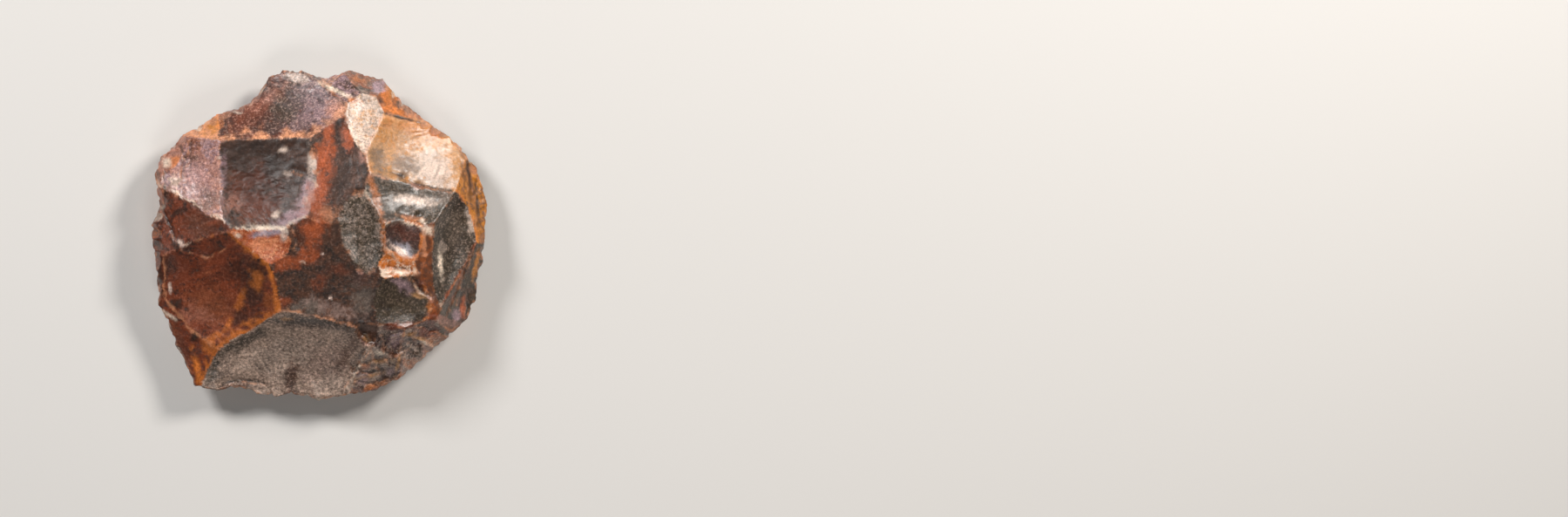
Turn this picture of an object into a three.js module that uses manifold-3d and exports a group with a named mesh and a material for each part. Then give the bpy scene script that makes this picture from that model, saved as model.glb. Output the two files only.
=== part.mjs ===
// A struck flint core of the prepared kind, lying on the broad flat scar of its last flake, domed side up.
// It is worked as a knapper works it: a lens-shaped nodule, from which one shallow hollow after another is taken.
// Millimetres, +Z up. The origin is on the ground, below the middle of the core.

import Module from "manifold-3d";
import * as THREE from "three";
import { mergeVertices } from "three/addons/utils/BufferGeometryUtils.js";

// Driving dimensions of the core, in millimetres.
const coreWidth = 95.8; // left to right, along X
const coreLength = 95; // foot to head, along Y
const rimHeight = 8; // ground to the sharp rim
const crownHeight = 28.5; // ground to the crown that the flakes of the dome were struck from
const groundWear = 0.4; // worn off the ridges that the core lies on
const noduleOverDome = 3.5; // raw nodule left over that crown before flaking
const noduleUnderGround = 6; // raw nodule below the ground plane before flaking

// Shape of the rim and of the scars.
const edgeBite = 0.03; // how far each run of the rim is bitten in, as a share of its length
const rimPointsPerRun = 3;
const scarReach = 2.1; // how far a hollow is carried out, in its own half lengths and half widths
const scarRings = 6;
const wideScar = 20; // hollows with at least this half width get more sides
const wideScarSides = 24;
const narrowScarSides = 16;
const turnedBy = THREE.MathUtils.degToRad(11.5); // the underside is laid out with the core turned over, then by this
const turnedAside = [-2.2, -3.3]; // and moved by this, in hundredths of the half width and half length

const halfWidth = coreWidth / 2;
const halfLength = coreLength / 2;
const clearHeight = 2 * crownHeight; // a hollow's tool stands clear of the nodule by this

// The corners of the rim, seen from above and clockwise, in hundredths of the half width and half length.
const rimCorners = [
  [-22, 99], [-11, 99], [4, 94], [13, 98], [19, 99], [38, 94], [46, 84], [61, 71], [78, 59], [85, 52],
  [94, 40], [98, 28], [101, 18], [99, -3], [98, -17], [95, -25], [94, -40], [88, -53], [77, -63],
  [58, -80], [48, -88], [32, -96], [11, -99], [0, -101], [-17, -97], [-26, -99], [-37, -97], [-47, -93],
  [-61, -95], [-74, -93], [-86, -67], [-93, -48], [-96, -43], [-97, -26], [-100, -3], [-100, 5],
  [-95, 17], [-97, 26], [-98, 36], [-95, 46], [-81, 60], [-60, 73], [-52, 75], [-42, 79], [-32, 91], [-30, 95],
];

// One row is one flake scar. It runs between two points of the old surface, from and to, and has a half width
// to each side, all in hundredths of the half width and half length. Hollow is its depth below the plane through
// those points, drop lowers it as a whole, and bank lifts its left side and lowers its right, in millimetres.
const domeScars = [
  // name, from, to, half width, hollow, drop, bank
  ["top_left", [-10, 101], [-22, 56], 42, 2.0, 0.2, 0],
  ["great_hollow", [-66, 20], [6, 49], 31, 2.4, 0.3, 0],
  ["pink_shoulder", [-92, 60], [-52, 14], 19, 1.0, 0, 0],
  ["shoulder_nick", [-68, 72], [-62, 58], 11, 0.7, 0, 0],
  ["shoulder_chip", [-97, 48], [-79, 40], 9, 0.8, 0.4, 0],
  ["left_wedge", [-99, 2], [-52, -2], 16, 0.8, 0, -0.8],
  ["left_petal", [-99, -36], [-24, -33], 31, 2.7, 0, 0],
  ["corner_bevel", [-95, -50], [-72, -99], 16, 0.5, -0.3, 1],
  ["corner_pit", [-76, -56], [-70, -64], 4, 1.4, -0.1, 0],
  ["bottom_sweep", [-20, -104], [-8, -46], 52, 3.2, 0, 0],
  ["plateau", [4, -57], [2, 18], 32, 0.4, 0, 0],
  ["upper_plateau", [12, 80], [11, 8], 15, 0.4, 0, 0],
  ["orange_wedge", [-52, -3], [-14, -8], 8, 0.6, 0.1, 0],
  ["leaf", [24, 29], [30, -23], 10.5, 1.4, 0.2, 0],
  ["pale_strip", [31, 86], [23, 40], 10, 0.9, 0.1, 0],
  ["right_upper", [80, 63], [30, 36], 22, 1.5, 0, 0],
  ["right_middle", [83, 23], [28, 25], 15, 1.4, 0, 0],
  ["square_hollow", [43, 9], [60, -17], 11, 1.8, 0.1, 0],
  ["ledge", [40, -20], [62, -21], 6, 0.6, 0.3, 0],
  ["orange_column", [66, 4], [67, -44], 6, 0.2, 0.2, 0],
  ["dark_lobe", [68, -43], [35, -37], 15, 1.8, 0.2, 0],
  ["tall_leaf", [89, 24], [75, -46], 11, 2.0, 0.5, 0],
  ["right_low_edge", [94, -17], [81, -60], 8, 0.8, 0.2, 0],
  ["cortex_band", [87, 52], [98, -17], 6, 0.3, -2.9, 1.9],
  ["step_outer", [66, -75], [52, -60], 11, 1.0, 0, 0],
  ["step_inner", [50, -72], [38, -60], 8, 1.0, 0, 0],
  ["step_low", [41, -92], [29, -71], 12, 1.0, 0, 0],
  ["step_nick", [30, -66], [24, -58], 5, 0.8, 0, 0],
  ["step_foot", [28, -101], [22, -84], 16, 0.8, 0, 0],
  ["step_right", [84, -62], [68, -60], 9, 0.8, 0.4, 0],
  ["top_crescent", [0, 96], [22, 83], 7, 1.2, 2.6, 0],
  ["top_right_edge", [31, 98], [25, 85], 13, 0.8, 0, 0],
  ["right_shoulder", [60, 82], [40, 67], 17, 0.8, 0.3, 0],
  ["right_nick", [48, 92], [40, 83], 8, 0.6, 0.4, 0],
];

// The scars of the underside, laid out as they are seen with the core turned over.
const undersideScars = [
  // name, from, to, half width, hollow, drop, bank
  ["last_flake", [70, 8], [-70, 8], 58, 0.8, 0, 0],
  ["under_head", [-36, 100], [-26, 47], 48, 1.2, 0, -3.2],
  ["under_head_right", [45, 90], [27, 53], 26, 0.6, 0, 0],
  ["under_cortex", [95, 60], [72, 40], 36, 0.6, 0, 0],
  ["under_foot", [24, -105], [14, -31], 34, 2.4, 0, 0],
  ["under_foot_left", [-66, -62], [-29, -26], 28, 0.4, 0.1, 0],
  ["marked_facet", [-99, -34], [-38, -92], 12, 0.4, 0, 0],
  ["chalk_patch", [-103, -12], [-71, -11], 30, 0.6, 0, 0],
  ["under_left", [-93, 42], [-70, 40], 24, 0.5, 0, 0],
  ["under_step", [87, -71], [53, -53], 14, 0.8, 1.0, 0],
  ["under_foot_bevel", [-22, -99], [-19, -87], 26, 0.4, 0, 0],
  ["under_right", [102, -12], [72, -9], 48, 0.8, 0, 0],
];

const wasm = await Module();
wasm.setup();

// How far the old surface stood from the rim at a point: the dome is a half ellipsoid, the underside a flat slab.
function distanceOut([x, y]) {
  return Math.min(Math.hypot(x, y) / 100, 1);
}

function domeSurface(point) {
  return rimHeight + (crownHeight - rimHeight) * Math.sqrt(1 - distanceOut(point) ** 2);
}

function undersideSurface(point) {
  return (rimHeight + groundWear) * (1 - distanceOut(point) ** 4) ** 0.25;
}

// From the layout of each side to the core's own frame. Heights on the underside count down from the rim.
function asSeenFromAbove([x, y], height) {
  return [(x / 100) * halfWidth, (y / 100) * halfLength, height];
}

function asTurnedOver([x, y], height) {
  const across = x * Math.cos(turnedBy) - y * Math.sin(turnedBy) + turnedAside[0];
  const along = -x * Math.sin(turnedBy) - y * Math.cos(turnedBy) + turnedAside[1];
  return asSeenFromAbove([across, along], rimHeight - height);
}

// A lathed body about Z whose vertices are then each led to a place of their own.
function warpedLathe(profile, sides, place) {
  const lathe = new THREE.LatheGeometry(profile.map(([r, z]) => new THREE.Vector2(r, z)), sides);
  lathe.rotateX(Math.PI / 2);
  lathe.deleteAttribute("normal");
  lathe.deleteAttribute("uv");
  const body = mergeVertices(lathe, 1e-4);
  const at = body.getAttribute("position");
  for (let i = 0; i < at.count; i++) at.setXYZ(i, ...place(at.getX(i), at.getY(i), at.getZ(i)));
  return body;
}

function solidOf(geometry) {
  const vertProperties = geometry.getAttribute("position").array;
  const triVerts = new Uint32Array(geometry.index.array);
  return new wasm.Manifold(new wasm.Mesh({ numProp: 3, vertProperties, triVerts }));
}

// The rim's points: each run between two corners is bitten in a little, as small flakes leave it.
function rimPoints() {
  return rimCorners.flatMap((corner, i) => {
    const next = rimCorners[(i + 1) % rimCorners.length];
    const run = Math.hypot(next[0] - corner[0], next[1] - corner[1]);
    return Array.from({ length: rimPointsPerRun }, (_, k) => {
      const t = k / rimPointsPerRun;
      const inwards = 1 - (edgeBite * run * 4 * t * (1 - t)) / 100;
      return corner.map((c, axis) => (c + (next[axis] - c) * t) * inwards);
    });
  });
}

// The nodule before flaking: a fat lens over the outline of the rim, and reaching below the ground.
function nodule() {
  const rim = rimPoints();
  const shares = [0.5, 0.75, 0.88, 0.95, 0.98, 0.995];
  const swell = (s) => Math.sqrt(1 - s ** 4);
  const topRise = crownHeight + noduleOverDome - rimHeight;
  const underDrop = rimHeight + noduleUnderGround;
  const profile = [
    [0, -underDrop],
    ...shares.map((s) => [s, -underDrop * swell(s)]),
    [1, 0],
    ...shares.toReversed().map((s) => [s, topRise * swell(s)]),
    [0, topRise],
  ];
  return warpedLathe(profile, rim.length, (x, y, z) => {
    const turn = THREE.MathUtils.euclideanModulo(-Math.atan2(y, x) / (2 * Math.PI), 1);
    const point = rim[Math.round(turn * rim.length) % rim.length];
    const share = Math.hypot(x, y);
    return asSeenFromAbove(point.map((c) => c * share), rimHeight + z);
  });
}

// The tool that takes one flake: its lower face is the scar, a bowl tilted with the old surface it was struck from.
function flake([, from, to, width, hollow, drop, bank], oldSurface, toCore) {
  const start = new THREE.Vector2(...from);
  const end = new THREE.Vector2(...to);
  const middle = start.clone().add(end).divideScalar(2);
  const half = end.clone().sub(start).divideScalar(2);
  const side = new THREE.Vector2(-half.y, half.x).setLength(width);
  const startHeight = oldSurface(from);
  const endHeight = oldSurface(to);
  const leftHeight = oldSurface(middle.clone().add(side).toArray());
  const rightHeight = oldSurface(middle.clone().sub(side).toArray());
  const rise = (endHeight - startHeight) / 2;
  const lean = (leftHeight - rightHeight) / 2 + bank;
  const bowl = (u, v) => (startHeight + endHeight) / 2 + rise * u + lean * v - hollow * (1 - u * u - v * v) - drop;
  const profile = Array.from({ length: scarRings + 1 }, (_, k) => [(scarReach * k) / scarRings, 0]);
  profile.push([scarReach, 1], [0, 1]);
  const sides = width < wideScar ? narrowScarSides : wideScarSides;
  return warpedLathe(profile, sides, (u, v, top) => {
    const point = middle.clone().addScaledVector(half, u).addScaledVector(side, v);
    return toCore(point.toArray(), top > 0.5 ? clearHeight : bowl(u, v));
  });
}

// What lies below the ground, where the core's own weight has worn its ridges flat.
function belowGround() {
  const slab = new THREE.BoxGeometry(2 * coreWidth, 2 * coreLength, clearHeight);
  slab.translate(0, 0, -clearHeight / 2);
  slab.deleteAttribute("normal");
  slab.deleteAttribute("uv");
  return mergeVertices(slab, 1e-4);
}

function struckCore() {
  const flakes = [
    ...domeScars.map((scar) => flake(scar, domeSurface, asSeenFromAbove)),
    ...undersideScars.map((scar) => flake(scar, undersideSurface, asTurnedOver)),
    belowGround(),
  ];
  const solid = flakes.reduce((left, taken) => left.subtract(solidOf(taken)), solidOf(nodule()));
  const { vertProperties, triVerts } = solid.getMesh();
  const geometry = new THREE.BufferGeometry();
  geometry.setAttribute("position", new THREE.BufferAttribute(vertProperties, 3));
  geometry.setIndex(new THREE.BufferAttribute(triVerts, 1));
  geometry.computeBoundingBox();
  const middle = geometry.boundingBox.getCenter(new THREE.Vector3());
  return geometry.translate(-middle.x, -middle.y, 0);
}

const flint = new THREE.MeshStandardMaterial({ color: 0x6b4330, roughness: 0.42, metalness: 0 });
const core = new THREE.Mesh(struckCore(), flint);
core.name = "stone_core";

const part = new THREE.Group();
part.add(core);

export default part;
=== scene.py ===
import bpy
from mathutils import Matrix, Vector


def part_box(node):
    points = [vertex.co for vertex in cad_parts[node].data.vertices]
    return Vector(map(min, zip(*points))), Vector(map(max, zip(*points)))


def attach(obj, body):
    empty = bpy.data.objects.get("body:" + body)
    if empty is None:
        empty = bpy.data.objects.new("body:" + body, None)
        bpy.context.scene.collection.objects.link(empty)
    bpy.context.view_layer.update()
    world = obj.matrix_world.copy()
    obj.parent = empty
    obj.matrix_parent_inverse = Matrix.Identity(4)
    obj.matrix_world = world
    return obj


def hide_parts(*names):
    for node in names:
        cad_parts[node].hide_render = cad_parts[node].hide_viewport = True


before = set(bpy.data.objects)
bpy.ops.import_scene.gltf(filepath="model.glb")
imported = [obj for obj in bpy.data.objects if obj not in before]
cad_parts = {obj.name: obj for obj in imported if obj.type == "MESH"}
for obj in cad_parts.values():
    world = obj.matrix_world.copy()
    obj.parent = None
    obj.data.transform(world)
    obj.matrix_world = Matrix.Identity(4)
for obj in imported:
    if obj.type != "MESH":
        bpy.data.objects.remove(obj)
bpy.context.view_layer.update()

import math
from collections import namedtuple

import bpy
import numpy as np
from mathutils import Matrix, Vector

# A struck flint core lying on its flat side, seen from straight above. The scars are laid out as in the
# solid, in hundredths of the half width and half length. All heights are millimetres until the mesh is made.
MM = 0.001
low, high = (np.array(corner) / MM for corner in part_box("stone_core"))

HALF_WIDTH = 47.9
HALF_LENGTH = 47.5
RIM = 8.0  # height of the sharp rim above the ground
CROWN = 28.5  # height of the crown that the dome's flakes were struck from
GROUND_WEAR = 0.4  # worn off the ridges that the core lies on
TURNED_BY = math.radians(11.5)  # the flat side is laid out with the core turned over, then by this
TURNED_ASIDE = np.array([-0.022, -0.033])  # and moved by this

RINGS = 126  # rings of vertices from the middle to the rim, on each face
POINTS_PER_RUN = 24  # of the rim, between two corners
EDGE_POINTS = 720  # at which the rim's height is worked out
RIDGE_ROUNDING = 0.45  # a ridge is worn where its two scars are within this height of each other
UNEVENNESS = 0.22  # height of the slow swells on every scar
RAY_HEIGHT = 0.07  # of the fine lines that run out from each blow
BEVEL_RISE = 26  # how far the bevel at the rim would climb by the middle
THIN_EDGE = 0.06  # the rim is where the two faces come this close
THINNEST = 0.03  # the stone is kept at least this thick
LEAST_SLOPE = 0.15  # between two scars: the ridge of a flatter meeting is pulled no harder than at this
STIFFNESS = [1.8, 1.8, 1.8, 8.0]  # how firmly a scar keeps its level, lean, rise and hollow
FAR_OFF = 1e3  # more than any height or gap
STAIN_AND_LIGHT_SEED, MARGIN_SEED, PATCHY_SEED = 300, 400, 450  # one more for each stain or margin

PALETTE = {
    "soot": "#261a14",
    "charcoal": "#352b25",
    "olive": "#3d3326",
    "grey": "#7a6c62",
    "blue_grey": "#8f8f9e",
    "plum": "#482f28",
    "mauve": "#a0838a",
    "rose": "#b07a68",
    "rust": "#75361d",
    "brick": "#86401f",
    "ember": "#a34c20",
    "clay": "#84482c",
    "orange": "#c8702a",
    "peach": "#d39068",
    "ochre": "#bb741c",
    "tan": "#bd8a58",
    "pale": "#d2bdae",
    "cream": "#e6d3be",
    "chalk": "#e6cbbc",
    "grey_brown": "#a08878",
    "dull_rose": "#a3857a",
    "russet": "#8d4a20",
    "umber": "#50301f",
    "amber": "#96592c",
    "sienna": "#a3714f",
    "taupe": "#9c7a64",
}

Scar = namedtuple(
    "Scar", "name start end width hollow drop bank ripple spacing grain patina stain mottle polish glitter"
)

# The scars of the dome: name, from, to, half width, hollow, drop and bank, as in the solid. Then come ripple
# height, ripple spacing and grain, in millimetres, patina (onto which painted light and shade are laid
# later), stain, the stain's share, polish, and glitter: how many bright specks are painted in as glints, and
# how strong the fine bump grain is.
DOME = [Scar(*row) for row in [
    ("top_left", (-10, 101), (-22, 56), 42, 2, 0.2, 0, 0.05, 5, 0.1, "plum", "rust", 0.4, 0.6, 0.9),
    ("great_hollow", (-66, 20), (6, 49), 31, 2.4, 0.3, 0, 0.06, 4, 0.14, "umber", "soot", 0.55, 0.1, 0.15),
    ("pink_shoulder", (-92, 60), (-52, 14), 19, 1, 0, 0, 0.14, 4, 0.12, "rose", "mauve", 0.5, 0.6, 0.8),
    ("shoulder_nick", (-68, 72), (-62, 58), 11, 0.7, 0, 0, 0.08, 3, 0.08, "peach", "rose", 0.3, 0.5, 0.4),
    ("shoulder_chip", (-97, 48), (-79, 40), 9, 0.8, 0.4, 0, 0.15, 2.5, 0.08, "rose", "clay", 0.4, 0.5, 0.4),
    ("left_wedge", (-99, 2), (-52, -2), 16, 0.8, 0, -0.8, 0.05, 5, 0.1, "rust", "soot", 0.5, 0.5, 0.35),
    ("left_petal", (-99, -36), (-24, -33), 31, 2.7, 0, 0, 0.05, 7, 0.08, "rust", "soot", 0.42, 0.5, 0.35),
    ("corner_bevel", (-95, -50), (-72, -99), 16, 0.5, -0.3, 1, 0.05, 4, 0.08, "rust", "plum", 0.5, 0.5, 0.3),
    ("corner_pit", (-76, -56), (-70, -64), 4, 1.4, -0.1, 0, 0, 4, 0.04, "soot", "plum", 0.3, 0.5, 0.2),
    ("bottom_sweep", (-20, -104), (-8, -46), 52, 3.2, 0, 0, 0.12, 6.5, 0.1,
     "grey_brown", "plum", 0.28, 0.7, 1),
    ("plateau", (4, -57), (2, 18), 32, 0.4, 0, 0, 0.03, 8, 0.08, "soot", "umber", 0.5, 0.5, 0.4),
    ("upper_plateau", (12, 80), (11, 8), 15, 0.4, 0, 0, 0.03, 6, 0.08, "umber", "soot", 0.5, 0.45, 0.4),
    ("orange_wedge", (-52, -3), (-14, -8), 8, 0.6, 0.1, 0, 0.03, 4, 0.05, "ember", "peach", 0.45, 0.4, 0.4),
    ("leaf", (24, 29), (30, -23), 10.5, 1.4, 0.2, 0, 0.05, 3.5, 0.12, "olive", "grey", 0.48, 0.7, 0.8),
    ("pale_strip", (31, 86), (23, 40), 10, 0.9, 0.1, 0, 0.04, 4, 0.06, "pale", "tan", 0.42, 0.6, 0.7),
    ("right_upper", (80, 63), (30, 36), 22, 1.5, 0, 0, 0.05, 6, 0.07, "tan", "ochre", 0.45, 0.6, 0.25),
    ("right_middle", (83, 23), (28, 25), 15, 1.4, 0, 0, 0, 5, 0.1, "olive", "grey", 0.36, 0.6, 0.6),
    ("square_hollow", (43, 9), (60, -17), 11, 1.8, 0.1, 0, 0, 2.6, 0.06, "plum", "soot", 0.45, 0.6, 0.5),
    ("ledge", (40, -20), (62, -21), 6, 0.6, 0.3, 0, 0.15, 1.6, 0.08, "orange", "cream", 0.5, 0.5, 0.3),
    ("orange_column", (66, 4), (67, -44), 6, 0.2, 0.2, 0, 0, 4, 0.18, "russet", "umber", 0.55, 0.2, 0.1),
    ("dark_lobe", (68, -43), (35, -37), 15, 1.8, 0.2, 0, 0.05, 4, 0.06, "olive", "soot", 0.4, 0.6, 0.6),
    ("tall_leaf", (89, 24), (75, -46), 11, 2, 0.5, 0, 0.04, 5, 0.08, "olive", "charcoal", 0.4, 0.7, 0.8),
    ("right_low_edge", (94, -17), (81, -60), 8, 0.8, 0.2, 0, 0.12, 3, 0.1, "olive", "umber", 0.4, 0.6, 0.5),
    ("cortex_band", (87, 52), (98, -17), 6, 0.3, -2.9, 1.9, 0, 4, 0.24, "ochre", "umber", 0.42, 0.15, 0.2),
    ("step_outer", (66, -75), (52, -60), 11, 1, 0, 0, 0.1, 2.6, 0.16, "plum", "grey_brown", 0.5, 0.7, 0.8),
    ("step_inner", (50, -72), (38, -60), 8, 1, 0, 0, 0.1, 2.2, 0.16, "plum", "grey_brown", 0.5, 0.7, 0.8),
    ("step_low", (41, -92), (29, -71), 12, 1, 0, 0, 0.1, 2.6, 0.16, "grey_brown", "plum", 0.5, 0.7, 0.9),
    ("step_nick", (30, -66), (24, -58), 5, 0.8, 0, 0, 0.1, 2, 0.1, "umber", "plum", 0.4, 0.7, 0.5),
    ("step_foot", (28, -101), (22, -84), 16, 0.8, 0, 0, 0.1, 2.6, 0.12, "clay", "plum", 0.5, 0.6, 0.7),
    ("step_right", (84, -62), (68, -60), 9, 0.8, 0.4, 0, 0.12, 2.6, 0.1, "olive", "russet", 0.4, 0.6, 0.4),
    ("top_crescent", (0, 96), (22, 83), 7, 1.2, 2.6, 0, 0.08, 4, 0.05, "plum", "mauve", 0.5, 0.7, 0.9),
    ("top_right_edge", (31, 98), (25, 85), 13, 0.8, 0, 0, 0.08, 3, 0.08, "grey", "clay", 0.55, 0.6, 0.6),
    ("right_shoulder", (60, 82), (40, 67), 17, 0.8, 0.3, 0, 0.06, 4, 0.06, "orange", "umber", 0.3, 0.5, 0.4),
    ("right_nick", (48, 92), (40, 83), 8, 0.6, 0.4, 0, 0.06, 3, 0.08, "mauve", "umber", 0.4, 0.6, 0.5),
]]

# The flat side, laid out as it is seen with the core turned over.
FLAT = [Scar(*row) for row in [
    ("last_flake", (70, 8), (-70, 8), 58, 0.8, 0, 0, 0.03, 12, 0.05, "amber", "russet", 0.35, 0.4, 0.45),
    ("under_head", (-36, 100), (-26, 47), 48, 1.2, 0, -3.2, 0.11, 7, 0.06, "sienna", "clay", 0.4, 0.7, 0.35),
    ("under_head_right", (45, 90), (27, 53), 26, 0.6, 0, 0, 0.06, 6, 0.06, "taupe", "clay", 0.35, 0.6, 0.35),
    ("under_cortex", (95, 60), (72, 40), 36, 0.6, 0, 0, 0.04, 3, 0.26, "ochre", "umber", 0.5, 0.2, 0.3),
    ("under_foot", (24, -105), (14, -31), 34, 2.4, 0, 0, 0.08, 8, 0.08, "sienna", "umber", 0.35, 0.7, 0.45),
    ("under_foot_left", (-66, -62), (-29, -26), 28, 0.4, 0.1, 0, 0.03, 8, 0.06,
     "amber", "umber", 0.35, 0.4, 0.4),
    ("marked_facet", (-99, -34), (-38, -92), 12, 0.4, 0, 0, 0.03, 5, 0.05, "rust", "plum", 0.3, 0.5, 0.2),
    ("chalk_patch", (-103, -12), (-71, -11), 30, 0.6, 0, 0, 0.14, 9, 0.05, "chalk", "cream", 0.3, 0.15, 0.05),
    ("under_left", (-93, 42), (-70, 40), 24, 0.5, 0, 0, 0.06, 5, 0.06, "pale", "mauve", 0.45, 0.6, 0.5),
    ("under_step", (87, -71), (53, -53), 14, 0.8, 1, 0, 0.16, 3, 0.12, "umber", "plum", 0.45, 0.7, 0.4),
    ("under_foot_bevel", (-22, -99), (-19, -87), 26, 0.4, 0, 0, 0.05, 4, 0.1, "soot", "rust", 0.35, 0.5, 0.2),
    ("under_right", (102, -12), (72, -9), 48, 0.8, 0, 0, 0.08, 6, 0.06, "umber", "charcoal", 0.45, 0.7, 0.35),
]]

# How strongly the ridge between two scars is drawn to its points, and those points.
RIDGES = [
    ("top_left", "great_hollow", 3,
     [(-54, 56), (-47, 55), (-39, 55), (-31, 57), (-22, 57), (-16, 58), (-10, 60)]),
    ("top_left", "upper_plateau", 1, [(-2, 62), (5, 65), (9, 71), (13, 73)]),
    ("top_left", "shoulder_nick", 1, [(-53, 71), (-54, 64), (-57, 58)]),
    ("shoulder_nick", "pink_shoulder", 1, [(-74, 61), (-68, 58), (-61, 56)]),
    ("pink_shoulder", "great_hollow", 1,
     [(-61, 54), (-62, 48), (-62, 42), (-60, 35), (-60, 28), (-61, 20), (-60, 10)]),
    ("pink_shoulder", "left_wedge", 3, [(-89, 27), (-83, 23), (-76, 18), (-68, 13), (-61, 8)]),
    ("left_wedge", "great_hollow", 1, [(-60, 8), (-55, 2), (-51, -1)]),
    ("great_hollow", "upper_plateau", 1, [(1, 55), (0, 49), (-1, 43), (-2, 35), (-3, 28), (-5, 21)]),
    ("great_hollow", "plateau", 1, [(-8, 15), (-12, 9), (-17, 5)]),
    ("great_hollow", "orange_wedge", 1, [(-24, 4), (-32, 2), (-40, 1)]),
    ("left_petal", "orange_wedge", 1, [(-50, -4), (-46, -8), (-39, -11), (-32, -15)]),
    ("orange_wedge", "plateau", 1, [(-20, 1), (-18, -10), (-23, -16)]),
    ("left_petal", "plateau", 1, [(-28, -17), (-24, -21), (-23, -26), (-22, -32), (-23, -39), (-25, -46)]),
    ("left_petal", "bottom_sweep", 2,
     [(-30, -53), (-35, -55), (-40, -58), (-46, -62), (-54, -66), (-61, -69)]),
    ("corner_bevel", "bottom_sweep", 1, [(-68, -76), (-70, -83), (-70, -90)]),
    ("left_petal", "corner_bevel", 1,
     [(-94, -12), (-93, -24), (-92, -36), (-88, -50), (-81, -52), (-76, -56), (-71, -60), (-68, -69)]),
    ("left_petal", "left_wedge", 1,
     [(-94, -4), (-89, -5), (-85, -6), (-76, -9), (-68, -12), (-60, -10), (-54, -6)]),
    ("plateau", "bottom_sweep", 2,
     [(-24, -50), (-15, -49), (-5, -49), (2, -50), (10, -52), (17, -54), (22, -57)]),
    ("top_left", "top_crescent", 1, [(1, 91), (4, 87), (10, 84), (15, 82)]),
    ("top_crescent", "pale_strip", 1, [(19, 82), (23, 85)]),
    ("top_crescent", "top_right_edge", 1, [(17, 96), (18, 91), (22, 87)]),
    ("pale_strip", "top_right_edge", 1, [(25, 86), (29, 86)]),
    ("top_left", "pale_strip", 1, [(19, 81), (16, 78), (16, 73)]),
    ("upper_plateau", "pale_strip", 1, [(17, 69), (19, 63), (20, 57), (22, 52), (24, 48)]),
    ("pale_strip", "right_upper", 1, [(37, 72), (36, 68), (34, 63), (32, 58), (29, 52), (26, 48)]),
    ("pale_strip", "right_shoulder", 1, [(34, 84), (35, 79), (37, 75)]),
    ("right_shoulder", "right_upper", 1, [(38, 73), (43, 72), (50, 70), (57, 68)]),
    ("right_nick", "top_right_edge", 1, [(39, 92), (39, 87)]),
    ("right_nick", "right_shoulder", 1, [(39, 85), (43, 83)]),
    ("upper_plateau", "right_upper", 1, [(27, 46), (28, 40), (29, 34)]),
    ("right_upper", "right_middle", 2, [(40, 34), (49, 33), (56, 30), (62, 28), (68, 27), (76, 25)]),
    ("right_upper", "cortex_band", 1, [(83, 50), (84, 43), (84, 35), (84, 28), (84, 24)]),
    ("right_middle", "tall_leaf", 1, [(80, 22), (76, 16), (73, 10), (70, 6)]),
    ("cortex_band", "tall_leaf", 2, [(86, 22), (90, 18), (91, 13), (91, 6), (92, 1), (92, -4)]),
    ("tall_leaf", "right_low_edge", 2, [(90, -9), (85, -19), (82, -27), (78, -36), (75, -45)]),
    ("tall_leaf", "orange_column", 1, [(70, 2), (69, -6), (68, -13), (68, -20), (69, -28), (70, -36)]),
    ("leaf", "plateau", 2,
     [(14, -2), (14, -8), (16, -14), (21, -19), (26, -22), (32, -22), (36, -19), (38, -13)]),
    ("leaf", "upper_plateau", 1, [(15, 10), (17, 16), (21, 22), (24, 26)]),
    ("leaf", "right_middle", 1, [(31, 24), (34, 18), (35, 13), (36, 6)]),
    ("square_hollow", "right_middle", 1, [(43, 9), (50, 7), (57, 6), (61, 3)]),
    ("square_hollow", "ledge", 1, [(43, -11), (47, -13), (52, -15), (57, -17)]),
    ("square_hollow", "orange_column", 1, [(62, 0), (62, -6), (60, -12)]),
    ("square_hollow", "plateau", 1, [(39, 0), (39, -6)]),
    ("dark_lobe", "plateau", 1, [(38, -28), (35, -34), (34, -40), (34, -46), (36, -52)]),
    ("dark_lobe", "orange_column", 1, [(61, -29), (65, -36), (67, -43), (66, -50)]),
    ("dark_lobe", "ledge", 1, [(42, -26), (48, -26), (54, -26)]),
    ("dark_lobe", "step_inner", 1, [(41, -56), (46, -56)]),
    ("dark_lobe", "step_outer", 1, [(53, -55), (59, -54)]),
    ("step_low", "bottom_sweep", 1, [(29, -72), (25, -77), (22, -83), (19, -87), (17, -92)]),
    ("step_low", "step_foot", 1, [(22, -93), (27, -91), (36, -90), (46, -87)]),
    ("step_nick", "bottom_sweep", 1, [(23, -60), (26, -65)]),
]

# The corners of the rim, seen from above and clockwise.
RIM_CORNERS = [
    (-22, 99), (-11, 99), (4, 94), (13, 98), (19, 99), (38, 94), (46, 84), (61, 71), (78, 59), (85, 52),
    (94, 40), (98, 28), (101, 18), (99, -3), (98, -17), (95, -25), (94, -40), (88, -53), (77, -63),
    (58, -80), (48, -88), (32, -96), (11, -99), (0, -101), (-17, -97), (-26, -99), (-37, -97), (-47, -93),
    (-61, -95), (-74, -93), (-86, -67), (-93, -48), (-96, -43), (-97, -26), (-100, -3), (-100, 5),
    (-95, 17), (-97, 26), (-98, 36), (-95, 46), (-81, 60), (-60, 73), (-52, 75), (-42, 79), (-32, 91),
    (-30, 95),
]
EDGE_BITE = 0.03  # how far each run between two corners is bitten in, as a share of its length

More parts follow.
